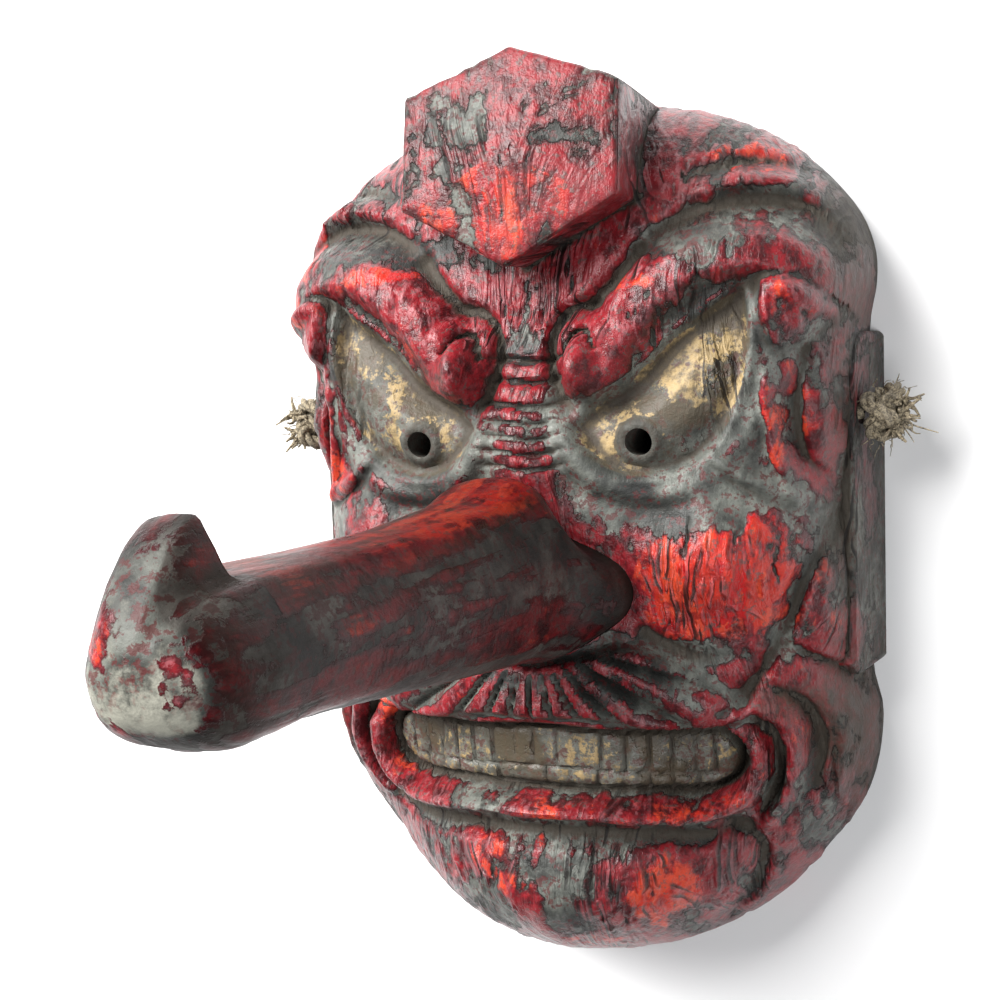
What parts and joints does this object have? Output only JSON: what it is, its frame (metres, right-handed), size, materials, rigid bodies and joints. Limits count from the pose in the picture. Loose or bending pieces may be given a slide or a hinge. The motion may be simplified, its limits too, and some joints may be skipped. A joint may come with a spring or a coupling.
{
  "type": "tengu mask",
  "caption": "Carved wooden tengu mask with a long hooked nose, hexagonal forehead cap, gilded eyes and teeth, and a hemp tying cord; lies on its hollow back's rim.",
  "frame": {"origin": "on the resting surface, under the middle of the mask's outline as measured without its cord", "axes": "+X the viewer's right, +Y the top of the head, +Z out of the face along the nose; the mask lies on its back rim"},
  "size_m": [0.2414, 0.326, 0.312],
  "materials": {
    "painted_wood": "cracked and flaking red paint over a dark ground, satin, with worn gilding on eyes and teeth",
    "nose_paint": "worn dark red and blackened paint, polished by handling, grey at the tip",
    "hemp": "rough twisted hemp, frayed at the knots"
  },
  "bodies": {
    "root": {"face": "painted_wood", "nose": "nose_paint", "cord": "hemp", "cord_knot_right": "hemp", "cord_knot_left": "hemp"}
  },
  "joints": []
}
